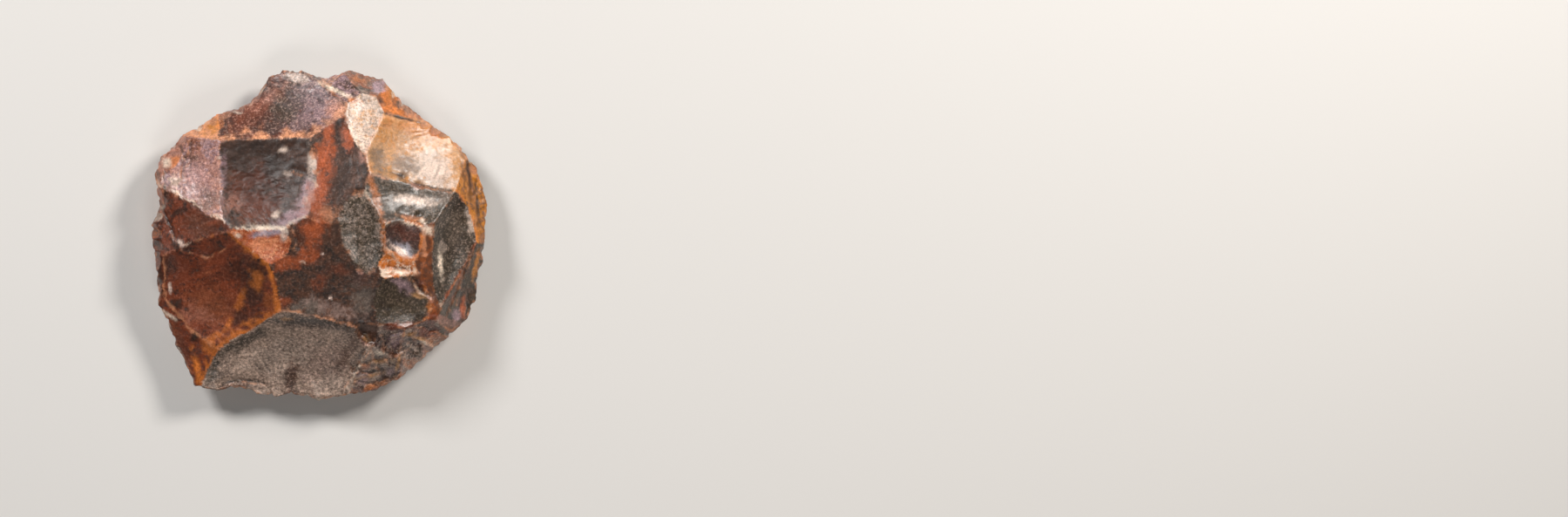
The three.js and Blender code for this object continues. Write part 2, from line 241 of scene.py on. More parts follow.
# Cracks, and steps where a flake broke short: from, to, width and depth in millimetres. A step drops sharply
# on the right of its run and comes back slowly on the left. One with a negative depth stands up as a lip.
CREASES = [
    (23, -56, 30, -66, 0.9, 0.7), (37, -61, 40, -68, 0.6, 0.7), (37, -69, 43, -74, 0.8, 0.8),
    (43, -74, 49, -71, 0.8, 0.7), (24, -79, 40, -75, 0.9, 0.7), (40, -75, 42, -78, 0.7, 0.5),
    (21, -83, 31, -84, 0.8, 0.6), (19, -79, 21, -84, 0.7, 0.6), (30, -68, 16, -94, 0.6, -0.5),
    (42, -65, 57, -61, 0.8, -0.6), (48, -88, 52, -73, 0.7, -0.6), (55, -62, 69, -70, 0.8, -0.6),
    (58, -55, 76, -61, 0.8, 0.6), (52, -61, 55, -71, 0.8, 0.6), (32, -71, 38, -87, 0.9, 0.5),
    (36, -89, 48, -85, 0.8, 0.5), (22, -89, 36, -92, 0.8, 0.5), (55, -27, 60, -34, 0.8, 0.7),
    (60, -34, 67, -38, 0.8, 0.7), (41, -20, 59, -23, 0.7, 0.5), (77, -47, 92, -9, 0.5, 0.35),
    (86, -27, 83, -45, 0.6, 0.3), (88, -36, 88, -52, 0.6, 0.35), (43, 36, 50, 34, 0.7, 0.5),
    (37, 73.5, 59, 67.5, 0.6, 0.5), (48, 11.5, 58, 9, 0.8, 0.6), (58, 9, 64, 4.5, 0.8, 0.6),
    (88, 43, 90, 20, 0.8, 0.7), (93, 31, 94.5, 5, 0.7, 0.6), (85, 42, 86.5, 28, 0.6, 0.4),
    (30, 85, 38, 79, 0.7, 0.5), (22, 88, 27, 80, 0.7, 0.4), (50, 33, 60, 29, 0.5, 0.5),
    (60, 29, 78, 26, 0.5, 0.5), (-15.5, 38, -8.5, 36.5, 0.5, 0.35), (-92, 37, -92, 19, 0.6, 0.6),
    (-93.5, 15.5, -86.5, -1.5, 0.6, 0.5), (-83, 52, -79.5, 45, 0.7, 0.4), (-79.5, 45, -81.5, 35, 0.7, 0.4),
    (-76.5, 55, -77.5, 41, 0.7, 0.35), (-58, -92, -46, -88.5, 0.7, 0.4), (-46, -88.5, -33, -91, 0.7, 0.4),
    (-81, -9, -67, -14, 0.5, 0.35), (-67, -14, -57, -9, 0.5, 0.35), (-14.5, 2, -13.5, -8, 0.5, 0.5),
]

# Stains laid over the scars, and on the dome also painted highlights and painted shadows: the one scar that
# they stay on, or None, and for each its x, y, half sizes, turn in degrees, colour and strength. A patch's
# place in the list also sets its ragged border.
DOME_STAINS_AND_LIGHT = [
    ("top_left", [
        # The mauve rows are a painted sheen on the right part of the bowl.
        (-3, 82, 14, 13, -30, "mauve", 0.5), (-6, 68, 20, 6, 14, "mauve", 0.35),
        (-34, 79, 15, 4.5, 31, "rust", 0.6), (-42, 70, 14, 8, 30, "rust", 0.6),
        (-30, 82, 12, 4, 35, "rose", 0.4), (-18, 78, 9, 12, -20, "olive", 0.6),
        (-12, 94.5, 9, 3, -15, "pale", 0.6), (-25, 96, 6, 3, 30, "rust", 0.6),
        (11, 75, 6, 7, -30, "rose", 0.8),
    ]),
    ("great_hollow", [
        # The first soot row is painted shade under the ridge at the top of the hollow.
        (-30, 55, 28, 5, 6, "soot", 0.7), (-43, 47, 15, 9, 0, "soot", 0.5),
        (-32, 30, 25, 21, 0, "soot", 0.55), (-42, 22, 18, 13, 30, "rust", 0.3),
        (-55, 18, 8, 5, 0, "rose", 0.4), (-27, 28, 14, 16, 0, "soot", 0.8), (-33, 16, 14, 9, 20, "rust", 0.4),
        (-44, 32, 12, 6, 20, "rust", 0.3), (-60, 34, 4, 14, 0, "mauve", 0.6),
        # The pale and mauve rows from here are a painted highlight on the right wall of the hollow.
        (-4, 42, 3.2, 12, -3, "pale", 0.7), (-7, 22, 5, 12, -18, "mauve", 0.85),
        (-5, 20, 3, 9, -18, "pale", 0.6), (-17, 9, 9, 4.5, 25, "mauve", 0.8),
    ]),
    (None, [
        (-21.4, 50.3, 2.2, 1.6, 0, "pale", 0.9), (-59.9, 45.7, 1.1, 1.1, 0, "pale", 0.8),
        (-24.9, 11.8, 2.6, 2, 40, "pale", 0.85), (-34.7, 3.4, 2.8, 2.2, 0, "cream", 0.95),
        (-27, 3.7, 6, 1.2, 2, "cream", 0.7), (-48, -1, 2.5, 1.2, -30, "cream", 0.7),
        (-18.6, 36.2, 2.6, 1.5, -30, "pale", 0.5),
    ]),
    ("pink_shoulder", [
        (-74, 36, 12, 12, 0, "mauve", 0.45), (-65, 21, 9, 6, -30, "plum", 0.6),
        (-75.5, 55, 5, 6, 0, "clay", 0.7), (-75.2, 46.4, 3, 2, 0, "charcoal", 0.6),
        (-87, 31, 4, 4, 30, "cream", 0.6), (-62, 42, 4, 9, -20, "rose", 0.5),
    ]),
    ("shoulder_nick", [(-63.5, 65.5, 7.5, 4, 35, "ochre", 0.8), (-55, 70.4, 3, 4, 0, "chalk", 0.7)]),
    ("shoulder_chip", [(-86, 42, 3.5, 5, -25, "orange", 0.8), (-91.3, 43, 2.5, 3, 0, "cream", 0.8)]),
    (None, [
        (-80.5, 45, 1.2, 6, -25, "umber", 0.6), (-97, 28, 4, 11, 0, "clay", 0.9),
        (-92, 28, 0.9, 9, 4, "soot", 0.9),
    ]),
    ("upper_plateau", [
        (2.5, 38, 6.5, 26, -9, "ember", 0.9), (14, 38, 7, 18, -5, "soot", 0.6),
        (12.5, 70, 3.5, 5, 0, "soot", 0.9), (6.5, 63, 2.5, 6, -20, "ember", 0.8),
        (17, 59, 3.5, 9, 12, "ember", 0.9), (10.8, 61, 2.2, 8, 5, "soot", 0.8),
    ]),
    (None, [
        (25.5, 46, 3, 4, 0, "rose", 0.5), (-2, 18, 6, 9, 10, "ember", 0.75), (5, 11, 6, 5, 20, "peach", 0.35),
        (-6, 5, 9, 7, 0, "ember", 0.5),
    ]),
    ("plateau", [
        (6, 0, 7, 6, 0, "umber", 0.6), (-5, -8, 11, 6, 60, "ember", 0.65), (-4, 0, 6, 6, 0, "ember", 0.4),
        (-19, -18, 7, 5, 10, "ember", 0.65), (-21, -41, 5, 3, 0, "ember", 0.4),
        (-0.5, -29, 5, 4.5, 0, "brick", 0.6), (-0.5, -29, 2.2, 2, 0, "soot", 0.8),
        (13, -22, 7, 3.5, -20, "brick", 0.4), (-6, -44, 12, 4, 8, "grey", 0.6),
        (8, -45, 14, 5, -12, "dull_rose", 0.5), (25, -38, 8, 8, 30, "grey", 0.45),
        (26, -26, 6, 5, 0, "plum", 0.6),
    ]),
    (None, [
        (6.8, -38.5, 0.9, 0.9, 0, "chalk", 1), (1.6, -12, 0.8, 0.8, 0, "chalk", 0.9),
        (-9.5, -17, 1.3, 0.6, -20, "cream", 0.7),
    ]),
    ("orange_wedge", [(-30, 0.3, 11, 2, 8, "blue_grey", 0.85), (-35, -6, 10, 4, 8, "peach", 0.5)]),
    (None, [(-20.7, -1, 2.6, 4, 0, "pale", 0.85)]),
    ("right_upper", [
        # The pale and chalk rows are a painted highlight on the lower right part, which faces the right-hand
        # light.
        (68, 41, 15, 13, -25, "pale", 0.95), (71, 38, 10, 8, -25, "chalk", 0.4),
        (58, 64, 18, 5, -15, "orange", 0.4), (36, 43, 5, 11, 0, "olive", 0.65),
        (49, 41, 9, 7, 0, "grey", 0.7),
    ]),
    # The soot row beside the tan knob is its painted shadow.
    (None, [(44.2, 36.5, 2.6, 2.4, 0, "tan", 0.8), (48.2, 35.5, 2.4, 1.3, 0, "soot", 0.8)]),
    # The pale and chalk band is a painted highlight on the lower wall of right_middle, which faces the top
    # light; the olive and soot rows after it are painted shade on its upper wall and along the ridge above.
    ("right_middle", [(57, 20, 11, 3.4, -4, "pale", 0.95), (57, 20.5, 7, 1.8, -4, "chalk", 0.6)]),
    (None, [(50, 29, 9, 3, -6, "olive", 0.8), (66, 27.5, 12, 1.1, -12, "soot", 0.7)]),
    ("right_middle", [(75, 22, 5, 4, 0, "grey", 0.7)]),
    (None, [
        (55, 9.8, 7, 1.1, -12, "peach", 0.95), (62, 6.5, 3.5, 1.2, -45, "cream", 0.9),
        (34, 21, 2.4, 16, 14, "orange", 0.55), (38, -1, 1.8, 9, 6, "orange", 0.55),
        (42, 8, 3.5, 4, 0, "soot", 0.5),
    ]),
    ("square_hollow", [
        # The blue-grey row and the chalk row under it are a painted highlight on the lower-left wall, which
        # faces the upper-right light.
        (52, 2, 8, 5, -10, "rust", 0.35), (50, -9, 8, 3, -37, "blue_grey", 0.6),
        (48.5, -10.5, 9, 1.7, -37, "chalk", 1),
    ]),
    (None, [
        (48.5, -15.5, 11, 1.6, -28, "orange", 0.85), (42, -11, 5, 1.2, -45, "cream", 0.8),
        (49.5, -23.5, 8, 1.6, -5, "cream", 0.9), (49.5, -20.6, 5, 0.9, -10, "soot", 0.8),
        (62.5, -5, 1.8, 8, 0, "peach", 0.8), (65, 2, 3.5, 3, -30, "cream", 0.8),
        (66, -28, 1.2, 1.2, 0, "soot", 0.8), (63.5, -34, 1.3, 1, 0, "soot", 0.8),
        (67, -21, 1, 1.4, 0, "soot", 0.7),
    ]),
    # The mauve row on the dark lobe is a painted sheen.
    ("dark_lobe", [(49.5, -31, 7, 3.6, -35, "mauve", 0.7)]),
    (None, [
        (60, -37.5, 5, 1.5, -10, "tan", 0.7), (60, -31.5, 4, 3.5, 0, "rust", 0.8),
        (58.5, -33.5, 0.8, 4.5, 30, "cream", 0.7), (48, -55.5, 13, 2.2, 4, "rust", 0.85),
        (68, -52, 6, 4, 20, "rust", 0.8),
    ]),
    ("tall_leaf", [
        # On the tall leaf the cream row and the pale rows are painted highlights on its walls, and the soot
        # row is painted shade at its top, which faces away from the light.
        (72.2, -19, 1.5, 8, 4, "cream", 0.85), (74, -8, 2, 4, 10, "pale", 0.35),
        (90, 10, 2.2, 10, 6, "pale", 0.6), (82, 0, 6, 15, 8, "grey", 0.35), (84, 19, 6, 5, 0, "soot", 0.7),
    ]),
    (None, [
        (84, -28, 1, 20, -21, "russet", 0.8), (86, -44.4, 2.2, 6, 0, "ember", 0.9),
        (82, -51, 3, 4, 0, "mauve", 0.85), (93.5, -20, 1.4, 11, -12, "ochre", 0.9),
    ]),
    ("cortex_band", [
        (89.5, 36, 1, 12, 8, "umber", 0.9), (95, 17, 0.9, 10, 6, "soot", 0.8),
        (85, 46, 1.2, 6, 10, "tan", 0.8), (92, 26, 0.7, 9, 8, "umber", 0.8),
    ]),
    (None, [
        # Among the steps the soot rows are painted shadow in their creases and under their edges.
        (64, -59.5, 7, 3.5, 0, "rust", 0.85), (64.5, -66.5, 6, 1.5, -20, "cream", 0.7),
        (59, -73, 5, 4, 30, "olive", 0.7), (43, -72.5, 4.5, 1.8, -15, "brick", 0.6),
        (53, -60.5, 4, 1.2, 5, "tan", 0.8), (36, -77, 7, 1.5, 5, "tan", 0.8),
        (28, -80.5, 3, 2, 20, "russet", 0.8), (43, -83.5, 8, 3, 12, "mauve", 0.6),
        (26, -87.5, 4, 4, 20, "mauve", 0.6), (22.5, -83, 0.8, 13, -29, "cream", 0.8),
        (28, -62.5, 1.5, 3.5, 25, "tan", 0.9), (34, -92, 13, 1.8, 16, "orange", 0.8),
        (37, -66, 4.5, 3, -40, "soot", 0.7), (45, -64, 4, 4, 40, "mauve", 0.5),
        (35, -72, 6, 1.0, -8, "cream", 0.8), (33, -83, 9, 1.1, 8, "soot", 0.8),
        (31, -86, 8, 1.2, 12, "tan", 0.8), (47, -79, 1.1, 6, -12, "tan", 0.8),
        (52, -66, 3, 5, 20, "soot", 0.6), (60, -63.5, 7, 1.0, -18, "tan", 0.9),
        (56, -69, 5, 1.0, -30, "pale", 0.6), (26, -72, 1.6, 8, -28, "soot", 0.7),
    ]),
    ("bottom_sweep", [
        # On the sweep the soot rows at y -53.5 and -57 are painted shade on the steep wall under the arc, and
        # the pale rows are a painted sheen on its lower part.
        (-5, -53.5, 26, 3.2, -4, "soot", 0.85), (-47, -66, 20, 3.5, 26, "olive", 0.9),
        (17, -57, 8, 4, -30, "soot", 0.6), (-64, -82, 5, 12, -8, "olive", 0.9),
        (-48, -93.5, 13, 3.5, 4, "umber", 0.8), (-47, -89.5, 11, 0.9, 6, "soot", 0.6),
        (-24, -74, 22, 9, 12, "pale", 0.3), (6, -80, 13, 12, 0, "dull_rose", 0.5),
        (8, -90, 11, 7, 0, "pale", 0.35), (-16, -87, 4, 11, -10, "umber", 0.9),
        (17, -72, 3.5, 12, -28, "umber", 0.7),
    ]),
    (None, [(-19.3, -51.3, 4, 0.9, 0, "tan", 0.7)]),
    ("left_petal", [
        (-66, -43, 15, 14, 0, "clay", 0.75), (-75, -49, 9, 6, 0, "rose", 0.3),
        (-85.7, -43, 4, 3.6, 0, "soot", 0.95), (-90, -18, 5, 8, 0, "soot", 0.7),
        (-81, -22, 3, 8, 10, "rust", 0.6), (-38, -30, 9, 21, 0, "soot", 0.8),
        (-50, -22, 9, 7, 0, "soot", 0.5), (-37, -27, 3.5, 7, 10, "orange", 0.55),
        (-30.5, -40, 2.5, 5, 10, "russet", 0.7), (-47, -40, 2.5, 7, -15, "orange", 0.5),
        (-54, -55, 2, 5, -20, "orange", 0.6), (-61, -61.5, 5, 2, 30, "orange", 0.6),
        (-46, -52, 7, 6, 30, "soot", 0.65),
    ]),
    ("corner_bevel", [(-95, -25, 2.5, 14, 2, "soot", 0.8)]),
    (None, [(-92, -33, 1.4, 4, 12, "clay", 0.7)]),
    ("corner_bevel", [(-86, -60, 3, 9, 25, "clay", 0.5), (-86, -51.5, 6, 1.1, -12, "soot", 0.7)]),
    (None, [
        (-66, -67, 6, 4, -30, "orange", 0.7), (-83, -5, 2.4, 1.4, -40, "chalk", 0.9),
        (-82, -7.5, 1.6, 1.2, 0, "chalk", 0.8), (-88.9, -33.2, 1.1, 3.4, 10, "chalk", 0.95),
    ]),
    ("left_wedge", [(-70, 4, 10, 9, 0, "umber", 0.6)]),
    (None, [(-90, 6.5, 0.9, 9, 23, "soot", 0.85), (-93.5, 16, 2, 1, 20, "cream", 0.8)]),
    ("corner_bevel", [
        (-81, -70, 4.5, 13, 25, "plum", 0.5), (-72.5, -82, 2, 12, 12, "orange", 0.85),
        (-90, -49, 5, 1.2, -35, "cream", 0.7),
    ]),
    (None, [
        # The cream and chalk rows at y 87 and 83.5 are a painted highlight on the lower wall of the top
        # crescent.
        (-73.8, -62.4, 2.6, 3, 0, "soot", 1), (9, 87, 9, 1.5, -28, "cream", 1),
        (17, 83.5, 4, 1.2, -10, "chalk", 0.8),
    ]),
    ("top_right_edge", [(24, 93, 6, 2, -12, "orange", 0.8)]),
    (None, [(27, 87.5, 6, 0.9, -16, "soot", 0.8)]),
    ("top_right_edge", [(31, 91, 4, 1, -20, "soot", 0.5), (36, 88, 4, 3.4, 0, "blue_grey", 0.6)]),
    ("top_crescent", [(14, 95, 3, 2.5, 0, "mauve", 0.7)]),
    (None, [
        (35.8, 90, 4, 3.5, 0, "mauve", 0.85), (20.5, 80.5, 4, 2, -10, "orange", 0.7),
        (42.8, 87.3, 2.6, 4, 20, "ochre", 0.9), (52, 76, 11, 3, -31, "charcoal", 0.95),
        (47.7, 70.4, 11, 0.8, -15, "soot", 0.9), (36.5, 81, 1.8, 3.5, 0, "soot", 0.7),
        (70, 60, 6, 2.5, -30, "orange", 0.7),
    ]),
]
FLAT_STAINS = [
    ("last_flake", [
        (35, -22, 26, 12, 0, "rust", 0.3), (33, 46, 22, 9, -20, "rust", 0.45),
        (-5, 18, 30, 16, 0, "orange", 0.3), (66, -5, 6, 30, 0, "umber", 0.55),
    ]),
    ("under_right", [
        (72, 12, 6, 22, 0, "russet", 0.6), (80, -14, 9, 20, 0, "charcoal", 0.8),
        (72, -42, 12, 9, -30, "pale", 0.6), (84, -50, 6, 6, 0, "mauve", 0.5),
    ]),
    ("under_head", [
        (-46, 74, 6, 16, -25, "mauve", 0.8), (-62, 57, 9, 12, 0, "pale", 0.75),
        (-56, 86, 6, 7, 0, "charcoal", 0.6), (-30, 76, 5, 16, -25, "clay", 0.4),
        (5, 66, 10, 14, 0, "clay", 0.6),
    ]),
    (None, [
        (-58, 91, 3.5, 4, 0, "chalk", 1), (-42, 96, 7.5, 3.5, 0, "chalk", 1), (6, 88, 9, 5, 0, "rose", 0.85),
    ]),
    ("under_head_right", [(51, 81, 6, 4, 0, "orange", 0.6), (62, 63, 3, 11, 30, "plum", 0.7)]),
    (None, [(92, 36, 8, 22, 0, "ochre", 0.85)]),
    ("under_foot", [
        (17, -56, 13, 11, 0, "dull_rose", 0.6), (18, -79, 9, 10, 20, "pale", 0.4),
        (42, -54, 8, 12, 25, "clay", 0.6), (2, -88, 12, 7, 0, "umber", 0.5),
        (38, -80, 9, 5, 35, "mauve", 0.4), (-8, -58, 4.5, 0.7, 25, "cream", 0.85),
    ]),
    ("under_step", [(62, -59, 9, 6, 0, "rust", 0.6)]),
    ("under_left", [(-92, 31, 3, 9, 0, "chalk", 0.85)]),
    (None, [(-89, 20, 5, 3.5, 0, "clay", 0.85)]),
    ("marked_facet", [
        (-71, -48, 0.6, 2.0, -44, "soot", 1), (-68.5, -51, 0.5, 1.6, -58, "soot", 0.9),
        (-66, -54, 0.6, 2.0, -40, "soot", 1), (-62.5, -57, 0.5, 1.3, -52, "soot", 0.9),
        (-59.5, -60, 0.6, 1.9, -46, "soot", 1), (-57, -63.5, 0.5, 1.8, -35, "soot", 0.9),
        (-53, -67, 0.6, 1.5, -50, "soot", 1), (-50.5, -70, 0.5, 2.0, -44, "soot", 0.9),
        (-46.5, -74, 0.6, 1.7, -55, "soot", 1),
    ]),
    ("last_flake", [
        (12, 14, 1.3, 1.1, 0, "soot", 0.9), (-31, -4, 1.0, 1.4, 20, "soot", 0.8),
        (38, 21, 1.6, 1.0, -30, "soot", 0.8), (-8, 33, 0.9, 0.9, 0, "soot", 0.8),
        (-52, 22, 1.1, 1.1, 0, "umber", 0.9), (21, -12, 1.0, 0.8, 0, "soot", 0.8),
    ]),
]

# Bands along one scar's border with another: the scar, its neighbour, width in millimetres, colour, strength.
# On the dome the peach, orange and cream bands are partly lighter wear on the ridges and partly a painted
# highlight on edges that face the light, such as the peach band at the foot of top_left; the umber band along
# the lower border of right_upper is painted shade.
DOME_MARGINS = [
    ("top_left", "great_hollow", 2.4, "peach", 1.0),
    ("top_left", "upper_plateau", 2.6, "peach", 0.7),
    ("top_left", "pale_strip", 1.6, "peach", 0.6),
    ("left_petal", "plateau", 1.9, "orange", 0.9),
    ("left_petal", "orange_wedge", 0.9, "orange", 0.8),
    ("left_petal", "bottom_sweep", 2.2, "orange", 0.75),
    ("left_petal", "corner_bevel", 0.7, "peach", 0.5),
    ("corner_bevel", "bottom_sweep", 1.6, "orange", 0.7),
    ("plateau", "bottom_sweep", 0.7, "peach", 0.8),
    ("great_hollow", "plateau", 0.9, "cream", 0.5),
    ("great_hollow", "orange_wedge", 1.0, "cream", 0.7),
    ("pink_shoulder", "left_wedge", 0.9, "cream", 0.7),
    ("left_wedge", "left_petal", 0.5, "rose", 0.5),
    ("right_middle", "square_hollow", 0.9, "orange", 0.7),
    ("square_hollow", "right_middle", 0.8, "cream", 0.8),
    ("square_hollow", "orange_column", 1.0, "orange", 0.8),
    ("square_hollow", "ledge", 0.8, "orange", 0.7),
    ("plateau", "right_middle", 1.2, "orange", 0.5),
    ("plateau", "square_hollow", 0.8, "orange", 0.7),
    ("right_upper", "right_middle", 0.6, "umber", 0.6),
    ("pale_strip", "right_upper", 0.6, "orange", 0.5),
    ("pale_strip", "upper_plateau", 0.8, "cream", 0.6),
    ("cortex_band", "tall_leaf", 0.8, "orange", 0.6),
    ("tall_leaf", "right_low_edge", 0.7, "ember", 0.7),
    ("dark_lobe", "orange_column", 1.0, "orange", 0.7),
    ("step_outer", "step_inner", 0.6, "peach", 0.5),
    ("step_low", "bottom_sweep", 0.7, "orange", 0.5),
]
FLAT_MARGINS = [
    ("last_flake", "under_head", 0.7, "soot", 0.6),
    ("under_head", "last_flake", 0.9, "peach", 0.5),
    ("under_foot_left", "last_flake", 0.7, "peach", 0.5),
    ("last_flake", "under_foot", 0.7, "peach", 0.5),
    ("under_head_right", "last_flake", 0.8, "peach", 0.5),
    ("last_flake", "under_right", 2.0, "umber", 0.5),
    ("under_right", "last_flake", 2.0, "umber", 0.5),
]

CHIP_TONES = ["peach", "cream", "orange", "clay", "rose", "umber"]

rng = np.random.default_rng(41)
LATTICE = rng.uniform(0, 2 * math.pi, (256, 256))


def paint(name):
    """A palette colour as linear red, green and blue."""
    code = PALETTE[name]
    parts = np.array([int(code[i : i + 2], 16) for i in (1, 3, 5)]) / 255
    return np.where(parts <= 0.04045, parts / 12.92, ((parts + 0.055) / 1.055) ** 2.4)


def ease(a, b, x):
    """0 at a, 1 at b, smooth between."""
    t = np.clip((x - a) / (b - a), 0, 1)
    return t * t * (3 - 2 * t)


def millimetres(x, y):
    """From shares of the half width and half length."""
    return x * HALF_WIDTH, y * HALF_LENGTH


def turned(x, y, angle):
    """A point as seen by someone who has turned by that angle."""
    c, s = math.cos(angle), math.sin(angle)
    return x * c + y * s, y * c - x * s


def noise(x, y, seed=0):
    """Smooth noise from about -1 to 1 over a lattice of random slopes."""
    cx, cy = np.floor(x), np.floor(y)
    fx, fy = x - cx, y - cy
    column, row = cx.astype(int) + 37 * seed, cy.astype(int) + 91 * seed

    def pull(i, j):
        turn = LATTICE[(column + i) % 256, (row + j) % 256]
        return np.cos(turn) * (fx - i) + np.sin(turn) * (fy - j)

    sx, sy = fx**3 * (fx * (fx * 6 - 15) + 10), fy**3 * (fy * (fy * 6 - 15) + 10)
    near = pull(0, 0) + sx * (pull(1, 0) - pull(0, 0))
    far = pull(0, 1) + sx * (pull(1, 1) - pull(0, 1))
    return 1.5 * (near + sy * (far - near))


def layers(x, y, size, count, seed=0):
    """Noise of a size in millimetres, with finer layers on it."""
    return sum(noise(x * 2**k / size, y * 2**k / size, seed + k) / 2**k for k in range(count))


def rim_outline():
    """Turns and distances of the rim's points, each run between corners bitten in a little."""
    points = []
    for corner, following in zip(RIM_CORNERS, RIM_CORNERS[1:] + RIM_CORNERS[:1]):
        here, there = np.array(corner) / 100, np.array(following) / 100
        run = np.hypot(*(there - here))
        for t in np.arange(POINTS_PER_RUN) / POINTS_PER_RUN:
            points.append((here + (there - here) * t) * (1 - EDGE_BITE * run * 4 * t * (1 - t)))
    points = np.array(points)
    turns = np.arctan2(points[:, 1], points[:, 0]) % (2 * math.pi)
    order = np.argsort(turns)
    return turns[order], np.hypot(points[:, 0], points[:, 1])[order]


RIM_TURNS, RIM_REACH = rim_outline()


def reach(turn):
    return np.interp(turn % (2 * math.pi), RIM_TURNS, RIM_REACH, period=2 * math.pi)


def dome_surface(x, y):
    return RIM + (CROWN - RIM) * np.sqrt(1 - np.minimum(x * x + y * y, 1))


def flat_surface(x, y):
    return (RIM + GROUND_WEAR) * (1 - np.minimum(x * x + y * y, 1) ** 2) ** 0.25


def turned_over(x, y):
    """From the core's own shares to the flat side's layout."""
    x, y = x - TURNED_ASIDE[0], y - TURNED_ASIDE[1]
    c, s = math.cos(TURNED_BY), math.sin(TURNED_BY)
    return x * c - y * s, -x * s - y * c


class Face:
    """One face of the core. Its heights are millimetres out, so those of the flat side count downward."""

    def __init__(self, scars, surface, seed):
        self.scars = scars
        self.names = [s.name for s in scars]
        self.seed = seed
        self.start = np.array([s.start for s in scars]) / 100
        self.middle = (self.start + np.array([s.end for s in scars]) / 100) / 2
        half = self.middle - self.start
        self.half_length = np.hypot(half[:, 0], half[:, 1])
        self.half_width = np.array([s.width for s in scars]) / 100
        self.along = half / self.half_length[:, None]
        self.across = np.stack([-self.along[:, 1], self.along[:, 0]], 1)
        ends = [self.middle + k * half for k in (-1, 1)]
        sides = [self.middle + k * self.across * self.half_width[:, None] for k in (1, -1)]
        first, last, left, right = (surface(p[:, 0], p[:, 1]) for p in ends + sides)
        self.rise = (last - first) / 2
        self.lean = (left - right) / 2 + np.array([s.bank for s in scars])
        self.hollow = np.array([s.hollow for s in scars])
        self.level = (first + last) / 2 - self.hollow - np.array([s.drop for s in scars])

    def settle(self, ridges):
        """Lift, tilt and deepen the bowls a little, so that the ridges pass close to their points."""
        count = 4 * len(self.names)
        rows, gaps = [], []
        for one, other, hold, points in ridges:
            for point in points:
                at = np.array([point]) / 100
                heights, slopes = self.bowls(at[:, 0], at[:, 1])
                first, second = self.names.index(one), self.names.index(other)
                angle = np.hypot(*(slopes[first, 0] - slopes[second, 0]))
                pull = hold / max(angle, LEAST_SLOPE)
                row = np.zeros(count)
                for k, sign in ((first, 1), (second, -1)):
                    away = at[0] - self.middle[k]
                    u = away @ self.along[k] / self.half_length[k]
                    v = away @ self.across[k] / self.half_width[k]
                    row[4 * k : 4 * k + 4] = pull * sign * np.array([1, v, u, u * u + v * v - 1])
                rows.append(row)
                gaps.append(pull * (heights[second, 0] - heights[first, 0]))
        steady = np.diag(np.tile(STIFFNESS, len(self.names)))
        wanted = np.array(gaps + [0] * count)
        moves = np.linalg.lstsq(np.vstack(rows + [steady]), wanted, rcond=None)[0].reshape(-1, 4)
        self.level = self.level + moves[:, 0] - moves[:, 3]
        self.lean = self.lean + moves[:, 1]
        self.rise = self.rise + moves[:, 2]
        self.hollow = self.hollow + moves[:, 3]

    def bowls(self, x, y):
        """Each scar's height and slope at each point."""
        away = np.stack([x, y], -1)[None] - self.middle[:, None]
        u = (away * self.along[:, None]).sum(-1) / self.half_length[:, None]
        v = (away * self.across[:, None]).sum(-1) / self.half_width[:, None]
        rise, lean, hollow = self.rise[:, None], self.lean[:, None], self.hollow[:, None]
        heights = self.level[:, None] + rise * u + lean * v + hollow * (u * u + v * v)
        slope_u = ((rise + 2 * hollow * u) / self.half_length[:, None])[..., None] * self.along[:, None]
        slope_v = ((lean + 2 * hollow * v) / self.half_width[:, None])[..., None] * self.across[:, None]
        return heights, (slope_u + slope_v) / HALF_WIDTH

    def relief(self, x, y):
        """Ripples that spread from each blow, grain, and a slow unevenness."""
        px, py = millimetres(x, y)
        out = []
        for k, scar in enumerate(self.scars):
            seed = self.seed + 3 * k
            sx, sy = self.start[k] * (HALF_WIDTH, HALF_LENGTH)
            away = np.hypot(px - sx, py - sy)
            swing = 2.4 * noise(px / 13, py / 13, seed)
            fade = 0.6 + 0.6 * noise(px / 8, py / 8, seed + 1)
            wave = scar.ripple * fade * np.sin(2 * math.pi * away / scar.spacing + swing)
            grain = scar.grain * layers(px, py, 2.4, 3, seed + 2)
            swell = UNEVENNESS * noise(px / 10, py / 10, seed + 4)
            out.append(wave + grain + swell + RAY_HEIGHT * self.rays(k, px, py))
        return np.array(out)

    def rays(self, k, px, py):
        """Fine lines that run out from the blow of one scar."""
        sx, sy = self.start[k] * (HALF_WIDTH, HALF_LENGTH)
        turn, away = np.arctan2(py - sy, px - sx), np.hypot(px - sx, py - sy)
        apart = 1.1
        spread = 1.4 * self.half_length[k] * HALF_WIDTH / apart
        seed = self.seed + k
        patchy = ease(-0.4, 0.5, noise(px / 5, py / 5, seed + 9))
        return noise(turn * spread, away / 7, seed) * patchy


def hackles(x, y):
    """The wrinkled torn surface inside the great hollow, with folds that rise to the right."""
    px, py = millimetres(x, y)
    along, across = turned(px, py, 0.5)
    wx = along + noise(px / 2.4, py / 2.4, 60)
    wy = across + noise(px / 2.4, py / 2.4, 61)
    folds = 1 - np.abs(noise(wx / 2.6, wy / 1.25, 62)) * 2.4
    fine = 1 - np.abs(noise(wx / 1.4, wy / 0.8, 63)) * 2.2
    (middle_x, middle_y), (half_x, half_y) = (-0.42, 0.22), (0.27, 0.23)
    where = ease(1.2, 0.5, np.hypot((x - middle_x) / half_x, (y - middle_y) / half_y))
    fold_height, fine_height = 0.17, 0.11
    return where * (fold_height * folds + fine_height * fine)


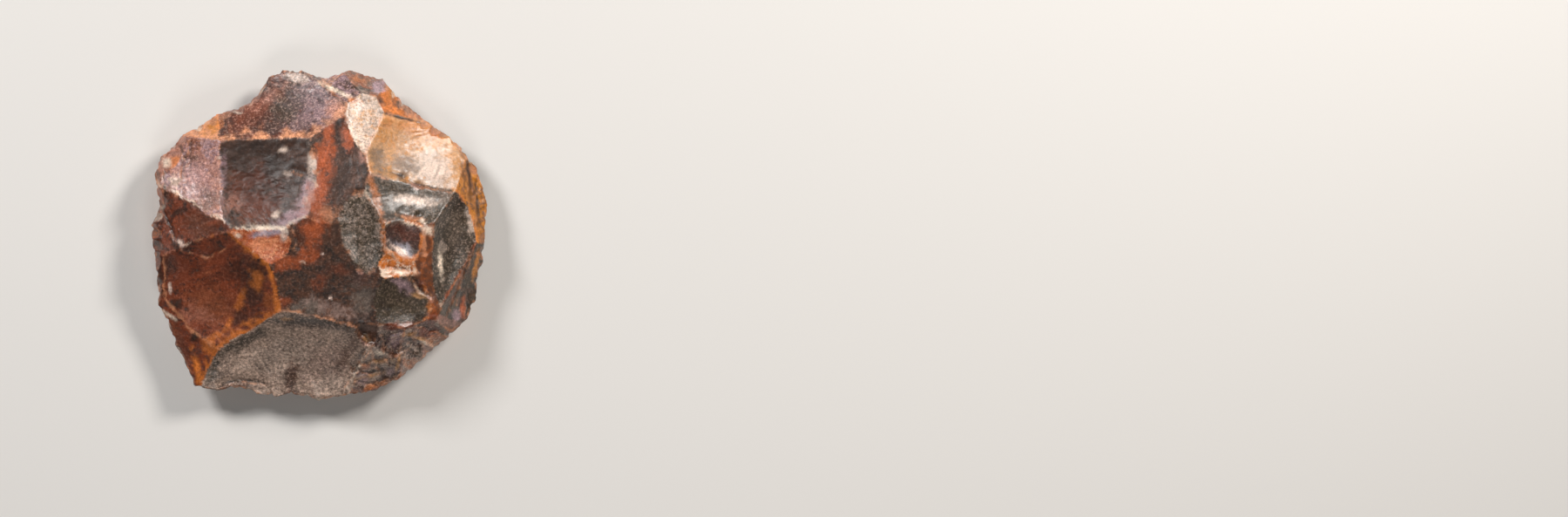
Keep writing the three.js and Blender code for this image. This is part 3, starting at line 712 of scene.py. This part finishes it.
def creases(x, y):
    """How far the cracks and steps cut in, in millimetres, how strongly a point in one is darkened with
    painted shade, and how much of a point is on a lip.
    """
    px, py = millimetres(x, y)
    depth, dark, lip = np.zeros_like(x), np.zeros_like(x), np.zeros_like(x)
    waver = 0.5 * noise(px / 1.8, py / 1.8, 70)
    for x0, y0, x1, y1, width, cut in CREASES:
        start = np.array([x0 * HALF_WIDTH, y0 * HALF_LENGTH]) / 100
        run = np.array([x1 * HALF_WIDTH, y1 * HALF_LENGTH]) / 100 - start
        length = np.hypot(*run)
        along = ((px - start[0]) * run[0] + (py - start[1]) * run[1]) / length
        across = ((py - start[1]) * run[0] - (px - start[0]) * run[1]) / length + waver
        past = np.maximum(np.abs(along - length / 2) - length / 2, 0)
        fade = ease(1.4, 0.0, past)
        steep = np.where(across > 0, 2.4 * width, 0.45 * width)
        shape = fade * np.exp(-((across / steep) ** 2))
        depth += cut * shape
        # Painted shade inside each crack and step, only where it cuts in.
        dark = np.maximum(dark, fade * np.exp(-(((across - 0.2) / (0.6 * width)) ** 2)) * (cut > 0))
        lip = np.maximum(lip, fade * np.exp(-(((across + 0.45) / 0.35) ** 2)))
    return depth, dark, lip


dome = Face(DOME, dome_surface, seed=5)
flat = Face(FLAT, flat_surface, seed=205)
dome.settle(RIDGES)


def scar_heights(face, x, y):
    heights, slopes = face.bowls(x, y)
    heights = heights + face.relief(x, y)
    if face is dome:
        heights[dome.names.index("great_hollow")] += hackles(x, y)
    return heights, slopes


class Chips:
    """Small flakes crushed off the rim on one face."""

    def __init__(self, count, seed):
        draw = np.random.default_rng(seed)
        self.turn = np.sort(draw.uniform(0, 2 * math.pi, count))
        self.half = 0.5 + 1.7 * draw.random(count) ** 2.2
        self.bite = draw.uniform(-0.4, 0.35, count)
        self.slope = np.tan(np.radians(draw.uniform(58, 76, count)))
        self.rise = draw.uniform(0.8, 1.8, count)
        self.tone = draw.integers(0, len(CHIP_TONES), count)

    def heights(self, turn, inward, distance, edge):
        """edge gives the height of the rim at a turn, on this face's own scale."""
        gap = (turn[None] - self.turn[:, None] + math.pi) % (2 * math.pi) - math.pi
        side = gap * distance[None] / self.half[:, None]
        bowl = edge(self.turn)[:, None] - self.bite[:, None] + self.slope[:, None] * inward[None]
        bowl = bowl + self.rise[:, None] * self.half[:, None] * 0.5 * side**2
        return np.where(np.abs(side) < 3, bowl, FAR_OFF)


def edge_heights():
    """The rim's height all round, shared out between the scars that meet there."""
    way_up, near, blur = 0.45, 6, 2.5  # near and blur count points of the rim
    turn = np.linspace(0, 2 * math.pi, EDGE_POINTS + 1)[:-1]
    x, y = reach(turn) * np.cos(turn), reach(turn) * np.sin(turn)
    above = scar_heights(dome, x, y)[0].min(0)
    below = RIM - scar_heights(flat, *turned_over(x, y))[0].min(0)
    edge = below + way_up * (above - below)
    spread = np.exp(-0.5 * (np.arange(-near, near + 1) / blur) ** 2)
    edge = np.convolve(np.concatenate([edge[-near:], edge, edge[:near]]), spread / spread.sum(), "valid")
    return lambda where: np.interp(where % (2 * math.pi), turn, edge, period=2 * math.pi)


edge_height = edge_heights()
dome_chips = Chips(count=210, seed=11)
flat_chips = Chips(count=180, seed=12)


def polar(x, y):
    turn = np.arctan2(y, x) % (2 * math.pi)
    share = np.hypot(x, y) / reach(turn)
    distance = np.hypot(*millimetres(x, y))
    return turn, np.minimum(share, 1), distance


def lowest_two(heights):
    winner = heights.argmin(0)
    first = heights.min(0)
    others = heights.copy()
    others[winner, np.arange(heights.shape[1])] = FAR_OFF
    return winner, first, others.min(0)


def worn(first, second, width=RIDGE_ROUNDING):
    """The lower of two surfaces, with the ridge between them rounded."""
    return first - width / 4 * np.maximum(1 - (second - first) / width, 0) ** 2


class Surface:
    """One face worked out at every point: height, the scar it lies on, and how far each border is."""

    def __init__(self, face, chips, nicks, x, y):
        upward = face is dome
        lay_x, lay_y = (x, y) if upward else turned_over(x, y)
        scars, slopes = scar_heights(face, lay_x, lay_y)
        turn, share, distance = polar(x, y)
        inward = (1 - share) * reach(turn) * HALF_WIDTH

        def edge(where):
            return edge_height(where) if upward else RIM - edge_height(where)

        bevel = edge(turn) + BEVEL_RISE * np.sqrt(1 - share**4)
        chipped = chips.heights(turn, inward, distance, edge)
        small = chipped.min(0)
        nicked = nicks.each(lay_x, lay_y).min(0)
        stacked = np.concatenate([scars, bevel[None], small[None], nicked[None]])
        self.winner, first, second = lowest_two(stacked)
        self.height = worn(first, second)
        if upward:
            cut, self.dark, self.lip = creases(lay_x, lay_y)
            self.height = self.height - cut
        else:
            self.dark, self.lip = np.zeros((2, len(x)))
        self.chip = chipped.argmin(0)
        self.lay = lay_x, lay_y
        self.inward = inward
        self.scar, scar_first, _ = lowest_two(scars)
        self.rays = np.zeros(len(x))
        for k in range(len(face.scars)):
            own = self.scar == k
            self.rays[own] = face.rays(k, *millimetres(lay_x[own], lay_y[own]))
        own = np.take_along_axis(slopes, self.scar[None, :, None].repeat(2, 2), 0)
        steepness = np.maximum(np.hypot(*np.moveaxis(slopes - own, -1, 0)), 0.05)
        self.gaps = (scars - scar_first) / steepness
        self.gaps[self.scar, np.arange(len(x))] = FAR_OFF


class Nicks:
    """Small flakes knocked off the ridges of one face."""

    def __init__(self, face, count, seed):
        draw = np.random.default_rng(seed)
        tries, widest = 9000, 0.95
        x, y = draw.uniform(-widest, widest, (2, tries))
        heights, slopes = scar_heights(face, x, y)
        winner, first, second = lowest_two(heights)
        ridge = (second - first < 0.12) & (np.hypot(x, y) < 0.9)
        chosen = np.flatnonzero(ridge)[:count]
        self.x, self.y, self.level = x[chosen], y[chosen], first[chosen]
        runner_up = np.where(np.arange(len(heights))[:, None] == winner, FAR_OFF, heights).argmin(0)
        self.slope = (slopes[winner[chosen], chosen] + slopes[runner_up[chosen], chosen]) / 2
        self.size = 0.5 + 1.5 * draw.random(len(chosen)) ** 2
        self.depth = 0.12 + 0.16 * self.size
        self.tone = draw.integers(0, len(CHIP_TONES), len(chosen))

    def each(self, x, y):
        """The height of each nick's bowl at each point."""
        dx = (x[None] - self.x[:, None]) * HALF_WIDTH
        dy = (y[None] - self.y[:, None]) * HALF_LENGTH
        lean = self.slope[:, :1] * dx + self.slope[:, 1:] * dy
        bowl = self.depth[:, None] * (dx * dx + dy * dy) / self.size[:, None] ** 2
        return self.level[:, None] - self.depth[:, None] + lean + bowl


dome_nicks = Nicks(dome, count=46, seed=21)
flat_nicks = Nicks(flat, count=40, seed=22)


def both_heights(x, y):
    above = Surface(dome, dome_chips, dome_nicks, x, y)
    below = Surface(flat, flat_chips, flat_nicks, x, y)
    return above, below, np.maximum(RIM - below.height, 0)


def true_rim(turns):
    """How far out the two faces still stand apart, for each turn."""
    steps = np.linspace(0.9, 1, 51)
    grid_turn, grid_step = np.meshgrid(turns, steps)
    out = (reach(grid_turn) * grid_step).ravel()
    x, y = out * np.cos(grid_turn.ravel()), out * np.sin(grid_turn.ravel())
    above, _, below = both_heights(x, y)
    apart = (above.height - below).reshape(grid_turn.shape) > THIN_EDGE
    met = np.argmin(apart, 0)
    share = np.where(apart.all(0), 1.0, steps[met])
    around = turns * HALF_WIDTH
    nibbled = 0.016 * np.maximum(layers(around, np.zeros_like(around), 2.6, 3, 530), -0.1)
    return reach(turns) * (share - nibbled)


def rings():
    """Shares and turns of a disc of vertices, six more in each ring."""
    shares, turns = [np.zeros(1)], [np.zeros(1)]
    for ring in range(1, RINGS + 1):
        t = ring / RINGS
        shares.append(np.full(6 * ring, 0.45 * t + 0.55 * math.sin(t * math.pi / 2)))
        turns.append(2 * math.pi * (np.arange(6 * ring) + 0.5 * (ring % 2)) / (6 * ring))
    return np.concatenate(shares), np.concatenate(turns)


def disc_faces():
    """Triangles of that disc, anticlockwise."""
    faces = []
    inner_start, outer_start = 0, 1
    for ring in range(1, RINGS + 1):
        outer, inner = 6 * ring, max(6 * (ring - 1), 1)
        for sector in range(6):
            for i in range(ring):
                a = outer_start + (sector * ring + i) % outer
                b = outer_start + (sector * ring + i + 1) % outer
                c = inner_start + (sector * (ring - 1) + i) % inner
                faces.append((a, b, c))
                if i < ring - 1:
                    d = inner_start + (sector * (ring - 1) + i + 1) % inner
                    faces.append((b, d, c))
        inner_start, outer_start = outer_start, outer_start + outer
    return np.array(faces)


def blot(x, y, at_x, at_y, half_x, half_y, turn, seed):
    """Where one stain, painted highlight or painted shadow of the table shows, from 0 to 1, with a ragged
    border.
    """
    dx, dy = turned(x - at_x / 100, y - at_y / 100, math.radians(turn))
    near = np.hypot(dx * 100 / half_x, dy * 100 / half_y)
    weight = np.zeros(len(x))
    close = near < 2.2
    px, py = millimetres(x[close], y[close])
    size = min(half_x, half_y)
    ragged = 0.5 * layers(px, py, 0.6 * size + 1.2, 3, seed)
    speckle = layers(px, py, 1.3, 3, seed + 50) * min(size / 4, 1)
    weight[close] = ease(1.5, 0.35, near[close] + ragged + 0.45 * speckle)
    return weight


def colours(surface, face, stains_and_light, margins, chips, nicks):
    """Patina with the stains, painted highlights and painted shade laid in, stain colour and finish values,
    with the share of painted glints, at each vertex of a face.
    """
    x, y = surface.lay
    px, py = millimetres(x, y)
    table = face.scars
    scar = surface.scar
    patina = np.array([paint(s.patina) for s in table])[scar]
    stain = np.array([paint(s.stain) for s in table])[scar]
    spread = np.array([s.mottle for s in table])[scar]
    polish = np.array([s.polish for s in table])[scar]
    glitter = np.array([s.glitter for s in table])[scar]
    names = face.names
    rows = [(home, row) for home, group in stains_and_light for row in group]
    # Stains, and on the dome painted highlights and painted shadows, are laid into the patina.
    for k, (home, (*spot, tone, strength)) in enumerate(rows):
        weight = strength * blot(x, y, *spot, seed=STAIN_AND_LIGHT_SEED + k)
        if home:
            weight = weight * (scar == names.index(home))
        patina = patina + (paint(tone) - patina) * weight[:, None]
        spread = spread * (1 - 0.45 * weight)
    # Bands along borders: partly wear, partly painted highlight and painted shade next to ridges.
    for k, (own, other, width, tone, strength) in enumerate(margins):
        ragged = 1 + 0.9 * layers(px, py, 2.2, 3, MARGIN_SEED + k)
        gap = surface.gaps[names.index(other)]
        border = ease(1.3, 0.3, gap / np.maximum(width * ragged, 0.15))
        weight = strength * border * (scar == names.index(own))
        weight = weight * ease(-0.7, 0.1, layers(px, py, 5, 3, PATCHY_SEED + k))
        patina = patina + (paint(tone) - patina) * weight[:, None]
        spread = spread * (1 - 0.5 * weight)
    # Ridges, the rim and step lips are lightened: worn edges, and in part a painted highlight where an edge
    # catches the light.
    nearest = surface.gaps.min(0)
    wear_and_highlight = 0.8 * ease(0.5, 0.05, nearest) * ease(0.0, 0.7, layers(px, py, 3, 3, 500))
    # After the scars, the winners count the bevel, the chips and the nicks.
    crushed = surface.winner == len(table) + 1
    tones = np.array([paint(t) for t in CHIP_TONES])
    chip_tone = tones[chips.tone[surface.chip]]
    patina = np.where(crushed[:, None], 0.55 * patina + 0.45 * chip_tone, patina)
    nicked = surface.winner == len(table) + 2
    nick_tone = tones[nicks.tone[nicks.each(x, y).argmin(0)]]
    patina = np.where(nicked[:, None], 0.6 * patina + 0.4 * nick_tone, patina)
    wear_and_highlight = np.maximum(wear_and_highlight, ease(1.0, 0.1, surface.inward) * ease(-0.1, 0.6, layers(px, py, 1.6, 3, 510)))
    wear_and_highlight = np.maximum(wear_and_highlight, 0.7 * surface.lip * ease(-0.3, 0.5, layers(px, py, 2, 2, 515)))
    # Random tone, painted light and shade along the fine rays that stands for their relief, and painted shade
    # in cracks and steps.
    tone_and_painted_shade = (1 + 0.25 * layers(px, py, 6, 4, 520) + 0.5 * surface.rays) * (1 - 0.65 * surface.dark)
    patina = patina * tone_and_painted_shade[:, None]
    return dict(patina=patina, stain=stain, spread=spread, polish=polish, wear_and_highlight=wear_and_highlight, glitter=glitter)


def make_core():
    shares, turns = rings()
    rim_count = 6 * RINGS
    rim_turns = turns[-rim_count:]
    rim = true_rim(rim_turns)
    out = shares * np.interp(turns, rim_turns, rim, period=2 * math.pi)
    x, y = out * np.cos(turns), out * np.sin(turns)
    above, below, under = both_heights(x, y)
    over = np.maximum(above.height, under + THINNEST)
    rim_line = (over[-rim_count:] + under[-rim_count:]) / 2
    over[-rim_count:] = rim_line
    count = len(x)
    inner = count - rim_count
    points = np.stack([x * HALF_WIDTH, y * HALF_LENGTH, over], 1)
    bottom = np.stack([points[:inner, 0], points[:inner, 1], under[:inner]], 1)
    points = np.concatenate([points, bottom])
    spread = points.max(0) - points.min(0)
    middle = (points.max(0) + points.min(0)) / 2
    fit = (high - low)[:2] / spread[:2]
    points[:, :2] = (points[:, :2] - middle[:2]) * fit + (high + low)[:2] / 2
    top_faces = disc_faces()
    lower = np.where(top_faces < inner, top_faces + count, top_faces)
    faces = np.concatenate([top_faces, lower[:, ::-1]])

    mesh = bpy.data.meshes.new("stone_core")
    mesh.from_pydata((points * MM).tolist(), [], faces.tolist())
    mesh.polygons.foreach_set("use_smooth", [True] * len(mesh.polygons))
    dome_look = colours(above, dome, DOME_STAINS_AND_LIGHT, DOME_MARGINS, dome_chips, dome_nicks)
    flat_look = colours(below, flat, FLAT_STAINS, FLAT_MARGINS, flat_chips, flat_nicks)
    for name, values in dome_look.items():
        whole = np.concatenate([values, flat_look[name][:inner]])
        if whole.ndim == 2:
            whole = np.concatenate([whole, np.ones((len(whole), 1))], 1)
            made = mesh.attributes.new(name, "FLOAT_COLOR", "POINT")
            made.data.foreach_set("color", whole.astype(np.float32).ravel())
        else:
            made = mesh.attributes.new(name, "FLOAT", "POINT")
            made.data.foreach_set("value", whole.astype(np.float32))
    core = bpy.data.objects.new("flint_core", mesh)
    bpy.context.collection.objects.link(core)
    return core, middle[:2]


class Socket:
    """An output of a shader node that can be used in sums."""

    def __init__(self, finish, output):
        self.finish = finish
        self.output = output

    def sum(self, operation, *values):
        return self.finish.node("Math", {"operation": operation}, dict(enumerate(values)))

    def __add__(self, other):
        return self.sum("ADD", self, other)

    def __sub__(self, other):
        return self.sum("SUBTRACT", self, other)

    def __rsub__(self, other):
        return self.sum("SUBTRACT", other, self)

    def __mul__(self, other):
        return self.sum("MULTIPLY", self, other)

    __radd__ = __add__
    __rmul__ = __mul__

    def ease(self, a, b):
        settings = {"interpolation_type": "SMOOTHSTEP"}
        return self.finish.node("MapRange", settings, {"Value": self, "From Min": a, "From Max": b})


class Finish:
    """A material and its nodes."""

    def __init__(self, name):
        self.material = bpy.data.materials.new(name)
        self.material.use_nodes = True
        self.tree = self.material.node_tree
        self.tree.nodes.clear()

    def node(self, kind, settings=None, values=None, out=0):
        made = self.tree.nodes.new("ShaderNode" + kind)
        for name, value in (settings or {}).items():
            setattr(made, name, value)
        for name, value in (values or {}).items():
            if isinstance(value, Socket):
                self.tree.links.new(value.output, made.inputs[name])
            else:
                made.inputs[name].default_value = value
        return Socket(self, made.outputs[out]) if made.outputs else None

    def read(self, name, out=2):
        return self.node("Attribute", {"attribute_name": name}, out=out)

    def grain(self, place, size, detail=3, roughness=0.6, distortion=0.0):
        """Noise of a size in millimetres."""
        values = {
            "Vector": place,
            "Scale": 1 / (size * MM),
            "Detail": detail,
            "Roughness": roughness,
            "Distortion": distortion,
        }
        return self.node("TexNoise", {}, values)

    def mix(self, share, a, b, blend="MIX"):
        settings = {"data_type": "RGBA", "blend_type": blend}
        return self.node("Mix", settings, {0: share, 6: a, 7: b}, out=2)


def flint_finish():
    f = Finish("flint")
    place = f.node("TexCoord", out=3)
    patina, stain = f.read("patina", 0), f.read("stain", 0)
    spread, polish, wear_and_highlight, glitter = (f.read(name) for name in ("spread", "polish", "wear_and_highlight", "glitter"))
    cloud = f.grain(place, 4.5, 6, 0.70, 0.7)
    fleck = f.grain(place, 1.3, 5, 0.75, 0.3)
    sand = f.grain(place, 0.75, 4, 0.80)
    stained = (cloud * 0.5 + fleck * 0.5 + (spread - 0.5) * 0.4).ease(0.45, 0.57)
    base = f.mix(stained * 0.85, patina, stain)
    shadow, shine = (0.36, 0.30, 0.28, 1), (1.7, 1.6, 1.55, 1)
    darker = f.mix(1.0, base, shadow, "MULTIPLY")
    base = f.mix(sand.ease(0.50, 0.38) * (0.25 + 0.6 * glitter), base, darker)
    base = f.mix(fleck.ease(0.43, 0.30) * 0.6, base, darker)
    # Painted glints: pale chalk specks, brightened further, stand in for the sparkle of light on the grains
    # where glitter is high.
    painted_glint = f.mix(glitter * 0.25, base, (*paint("chalk"), 1))
    painted_glint = f.mix(1.0, painted_glint, shine, "MULTIPLY")
    base = f.mix(sand.ease(0.51, 0.63) * (0.15 + 0.65 * glitter), base, painted_glint)
    # wear_and_highlight lays peach flecks on the edges: lighter wear, partly a painted highlight.
    base = f.mix(wear_and_highlight * fleck.ease(0.36, 0.58) * 0.8, base, (*paint("peach"), 1))
    rough = 0.46 - 0.20 * polish + 0.2 * (fleck - 0.5) + 0.12 * wear_and_highlight
    height = fleck * 0.8 + sand * (0.15 + 0.35 * glitter) + cloud * 0.8
    bump = f.node("Bump", {}, {"Strength": 0.7, "Distance": 0.00025, "Height": height})
    shader = f.node(
        "BsdfPrincipled",
        {},
        {
            "Base Color": base,
            "Roughness": rough,
            "IOR": 1.5,
            "Coat Weight": polish * 0.3,
            "Coat Roughness": 0.16,
            "Normal": bump,
        },
    )
    f.node("OutputMaterial", {}, {"Surface": shader})
    return f.material


def floor_finish():
    f = Finish("pale_floor")
    shader = f.node("BsdfPrincipled", {}, {"Base Color": (0.72, 0.71, 0.69, 1), "Roughness": 0.85})
    f.node("OutputMaterial", {}, {"Surface": shader})
    return f.material


def lay_floor():
    mesh = bpy.data.meshes.new("floor")
    half = 6.0
    corners = [(-half, -half, 0), (half, -half, 0), (half, half, 0), (-half, half, 0)]
    mesh.from_pydata(corners, [], [(0, 1, 2, 3)])
    mesh.materials.append(floor_finish())
    floor = bpy.data.objects.new("floor", mesh)
    bpy.context.collection.objects.link(floor)


def hang_light(name, place, size, power, tone):
    """A round soft light that points at the core."""
    aim = (0, 0, 0.01)
    data = bpy.data.lights.new(name, "AREA")
    data.shape = "DISK"
    data.size = size
    data.energy = power
    data.color = tone
    light = bpy.data.objects.new(name, data)
    light.location = place
    light.rotation_mode = "QUATERNION"
    light.rotation_quaternion = (Vector(aim) - Vector(place)).to_track_quat("-Z", "Y")
    light.visible_camera = False
    bpy.context.collection.objects.link(light)


def light_up():
    hang_light("upper_left", (-0.42, 0.42, 0.50), 0.22, 4.0, (1.0, 0.98, 0.97))
    hang_light("upper_right", (0.46, 0.38, 0.46), 0.20, 4.4, (1.0, 0.95, 0.90))
    hang_light("lower", (0.05, -0.46, 0.56), 0.30, 1.0, (1.0, 0.97, 0.94))
    world = bpy.data.worlds.new("studio")
    world.use_nodes = True
    glow = world.node_tree.nodes["Background"].inputs
    glow["Color"].default_value = (1, 1, 1, 1)
    glow["Strength"].default_value = 0.05
    bpy.context.scene.world = world


def set_camera(middle):
    """Straight above the core, and aimed aside so that the core stands where the photo has it."""
    distance = 3.0
    frame_width = 0.450
    frame_middle = (133.3, -7.1)  # in the millimetres that the scars are laid out in
    aim = Vector(((frame_middle[0] - middle[0]) * MM, (frame_middle[1] - middle[1]) * MM, RIM * MM))
    data = bpy.data.cameras.new("camera")
    data.sensor_width = 36
    data.clip_end = 20
    camera = bpy.data.objects.new("camera", data)
    stand = Vector((-middle[0] * MM, -middle[1] * MM, distance))
    data.lens = data.sensor_width * (aim - stand).length / frame_width
    back = (stand - aim).normalized()
    right = Vector((0, 1, 0)).cross(back).normalized()
    up = back.cross(right)
    camera.matrix_world = Matrix.Translation(stand) @ Matrix((right, up, back)).transposed().to_4x4()
    bpy.context.collection.objects.link(camera)
    bpy.context.scene.camera = camera


core, middle = make_core()
core.data.materials.append(flint_finish())
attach(core, "root")
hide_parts("stone_core")
lay_floor()
light_up()
set_camera(middle)
bpy.context.scene.view_settings.view_transform = "Standard"
